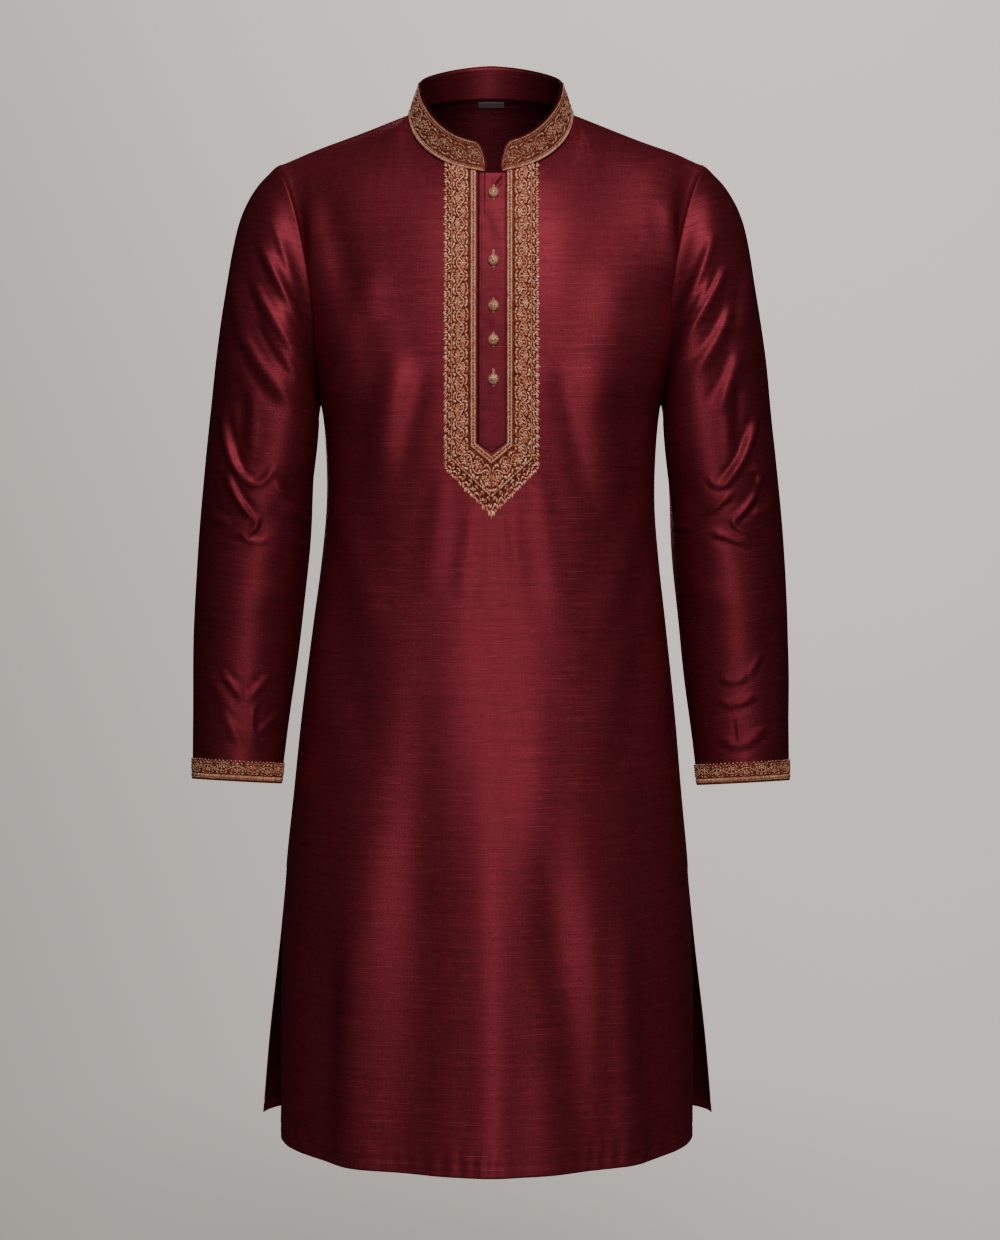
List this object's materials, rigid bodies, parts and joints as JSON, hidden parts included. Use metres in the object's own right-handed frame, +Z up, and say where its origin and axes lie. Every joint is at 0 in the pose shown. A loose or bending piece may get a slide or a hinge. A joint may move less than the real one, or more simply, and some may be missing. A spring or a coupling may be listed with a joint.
{
  "type": "kurta tunic",
  "caption": "Long-sleeved kurta tunic with a stand collar, buttoned front placket, embroidered bands, side slits and open neck, cuffs and hem.",
  "frame": {"origin": "middle of the neck's base at the level of the side neck points, where the wearer's shoulders hold the garment", "axes": "+Z up, the front faces -Y, +X to the viewer's right when looking at the front"},
  "size_m": [0.6046, 0.3039, 1.0951],
  "materials": {
    "silk": "slubbed maroon silk with a satin sheen",
    "embroidery": "copper thread embroidery",
    "button": "antique copper",
    "label": "plain grey tape"
  },
  "bodies": {
    "root": {"front_panel": "silk", "back_panel": "silk", "sleeve_left": "silk", "sleeve_right": "silk", "collar_band": "silk", "placket_strip": "silk", "front_trim": "embroidery", "collar_trim": "embroidery", "cuff_trim_left": "embroidery", "cuff_trim_right": "embroidery", "button_1": "button", "button_2": "button", "button_3": "button", "button_4": "button", "button_5": "button", "neck_label": "label"}
  },
  "joints": []
}
